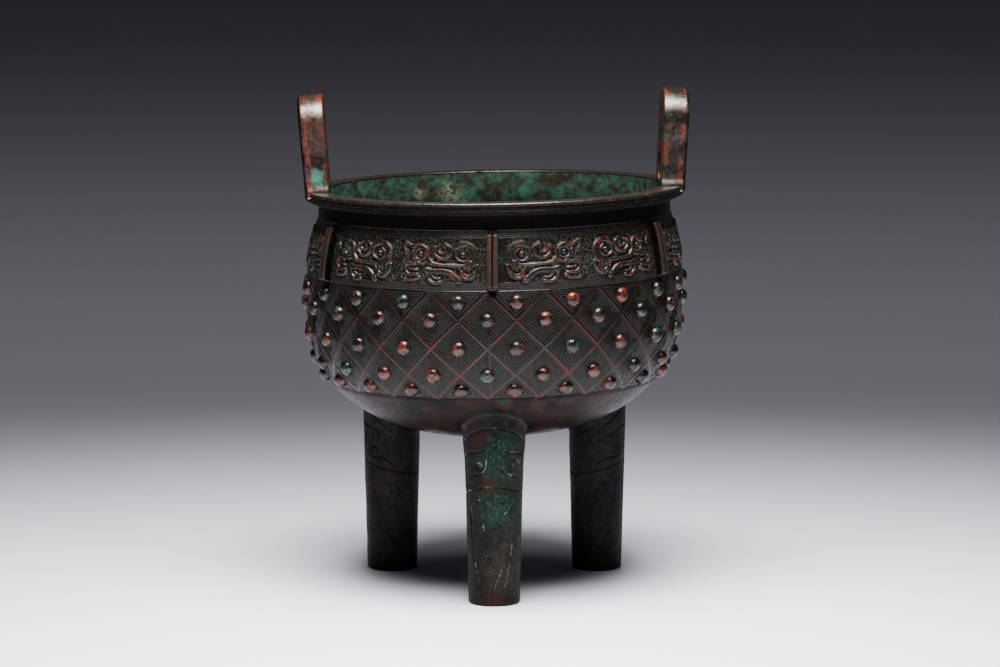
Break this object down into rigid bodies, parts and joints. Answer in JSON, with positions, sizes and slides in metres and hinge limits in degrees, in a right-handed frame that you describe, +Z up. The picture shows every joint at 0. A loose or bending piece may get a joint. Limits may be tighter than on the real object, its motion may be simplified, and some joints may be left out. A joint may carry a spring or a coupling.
{
  "type": "tripod vessel",
  "caption": "Cast bronze ding: a deep round bowl on round legs with upright loop handles, a band of dragons and a field of bosses in lozenges.",
  "frame": {"origin": "on the floor under the middle of the feet", "axes": "+Z up, -Y towards the leg seen in front, +X towards the handle seen on the right"},
  "size_m": [0.176, 0.1764, 0.2239],
  "materials": {
    "ding_vessel": "dark patinated bronze with green corrosion"
  },
  "bodies": {
    "root": {"ding_vessel": "ding_vessel"}
  },
  "joints": []
}
